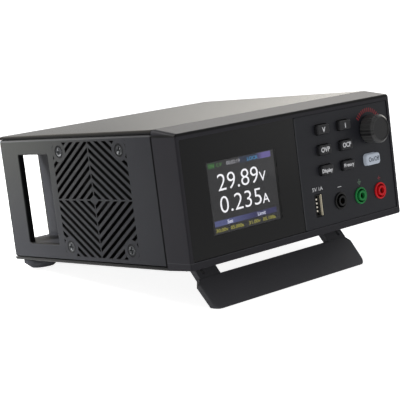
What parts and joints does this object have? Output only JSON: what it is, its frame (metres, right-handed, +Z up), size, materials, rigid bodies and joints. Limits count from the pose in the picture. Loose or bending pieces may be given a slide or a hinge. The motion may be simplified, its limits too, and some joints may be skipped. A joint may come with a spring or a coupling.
{
  "type": "bench power supply",
  "caption": "Compact bench power supply with display window, keypad, dial, output sockets, fan grille, hand grips at the rear corners and a swing-out front bail.",
  "frame": {"origin": "on the desk under the middle of the unit as it stands on its rear feet and the swung-out bail", "axes": "+X to the right seen from the front, +Y to the rear, +Z up; the case leans back by 8.15 degrees"},
  "size_m": [0.185, 0.1886, 0.1089],
  "materials": {
    "case_paint": "matt powder coat, dark grey",
    "side_paint": "matt powder coat, dark grey",
    "bezel_plastic": "fine spark-eroded texture",
    "keypad_plastic": "satin film",
    "window": "smoked clear acrylic",
    "display_glass": "clear",
    "key_plastic": "satin",
    "white_plastic": "satin",
    "black_plastic": "satin moulded",
    "green_plastic": "satin moulded",
    "red_plastic": "satin moulded",
    "rubber": "matt moulded",
    "steel": "zinc plated",
    "black_steel": "blackened",
    "nickel": "nickel plated",
    "gold": "gold plated",
    "copper_wire": "enamelled copper wire",
    "board": "solder mask on glass fibre",
    "ferrite": "sintered ferrite",
    "tape": "polyester tape",
    "aluminium": "extruded",
    "sleeve": "shrunk film sleeve"
  },
  "bodies": {
    "housing": {"bottom_tray": "case_paint", "top_cover": "case_paint", "left_side_panel": "side_paint", "right_side_panel": "side_paint", "rear_panel": "case_paint", "left_grip_pocket": "case_paint", "right_grip_pocket": "case_paint", "front_bezel": "bezel_plastic", "display_lens": "window", "lcd_glass": "display_glass", "lcd_frame": "nickel", "keypad_panel": "keypad_plastic", "control_board": "board", "bezel_posts": "steel", "key_switches": "black_plastic", "encoder_body": "nickel", "encoder_nut": "nickel", "jack_sleeves": "gold", "jack_nuts": "nickel", "usb_shell": "nickel", "usb_tongue": "black_plastic", "usb_contacts": "gold", "fan_frame": "black_plastic", "fan_screws": "steel", "main_board": "board", "board_spacers": "gold", "transformer_core": "ferrite", "transformer_winding": "tape", "ring_choke": "copper_wire", "capacitors": "sleeve", "heatsink_left": "aluminium", "heatsink_right": "aluminium", "power_transistors": "black_plastic", "mains_inlet": "black_plastic", "inlet_blades": "nickel", "inlet_screws": "black_steel", "rocker_housing": "black_plastic", "rear_feet": "rubber", "front_feet": "rubber", "foot_screws": "steel", "bail_bracket_left": "black_steel", "bail_bracket_right": "black_steel", "bail_pins": "steel", "jack_negative": "black_plastic", "jack_earth": "green_plastic", "jack_positive": "red_plastic"},
    "bail": {"bail": "black_plastic"},
    "dial": {"knob": "black_plastic", "encoder_shaft": "steel"},
    "fan": {"fan_rotor": "black_plastic"},
    "rocker": {"mains_rocker": "black_plastic"},
    "key_volts": {"key_volts": "key_plastic"},
    "key_limit_volts": {"key_limit_volts": "key_plastic"},
    "key_view": {"key_view": "key_plastic"},
    "key_amps": {"key_amps": "key_plastic"},
    "key_limit_amps": {"key_limit_amps": "key_plastic"},
    "key_store": {"key_store": "key_plastic"},
    "output_key": {"output_key": "white_plastic"}
  },
  "joints": [
    {"name": "bail_hinge", "type": "hinge", "parent": "housing", "child": "bail", "pos_m": [0.00165, -0.05664, 0.02165], "axis": [1, 0, 0], "range_deg": [0, 128]},
    {"name": "dial_turn", "type": "hinge", "parent": "housing", "child": "dial", "pos_m": [0.0702, -0.08744, 0.08941], "axis": [0, 0.9899, -0.1419], "continuous": true},
    {"name": "fan_spin", "type": "hinge", "parent": "housing", "child": "fan", "pos_m": [-0.08, -0.00488, 0.05929], "axis": [1, 0, 0], "continuous": true},
    {"name": "rocker_tilt", "type": "hinge", "parent": "housing", "child": "rocker", "pos_m": [0.027, 0.08856, 0.06207], "axis": [0, -0.1419, -0.9899], "range_deg": [0, 18]},
    {"name": "key_volts_press", "type": "slide", "parent": "housing", "child": "key_volts", "axis": [0, 0.9899, -0.1419], "range_m": [0, 0.0008], "stiffness_N_per_m": 800, "springref_m": -0.0005},
    {"name": "key_limit_volts_press", "type": "slide", "parent": "housing", "child": "key_limit_volts", "axis": [0, 0.9899, -0.1419], "range_m": [0, 0.0008], "stiffness_N_per_m": 800, "springref_m": -0.0005},
    {"name": "key_view_press", "type": "slide", "parent": "housing", "child": "key_view", "axis": [0, 0.9899, -0.1419], "range_m": [0, 0.0008], "stiffness_N_per_m": 800, "springref_m": -0.0005},
    {"name": "key_amps_press", "type": "slide", "parent": "housing", "child": "key_amps", "axis": [0, 0.9899, -0.1419], "range_m": [0, 0.0008], "stiffness_N_per_m": 800, "springref_m": -0.0005},
    {"name": "key_limit_amps_press", "type": "slide", "parent": "housing", "child": "key_limit_amps", "axis": [0, 0.9899, -0.1419], "range_m": [0, 0.0008], "stiffness_N_per_m": 800, "springref_m": -0.0005},
    {"name": "key_store_press", "type": "slide", "parent": "housing", "child": "key_store", "axis": [0, 0.9899, -0.1419], "range_m": [0, 0.0008], "stiffness_N_per_m": 800, "springref_m": -0.0005},
    {"name": "output_key_press", "type": "slide", "parent": "housing", "child": "output_key", "axis": [0, 0.9899, -0.1419], "range_m": [0, 0.0008], "stiffness_N_per_m": 800, "springref_m": -0.0005}
  ]
}
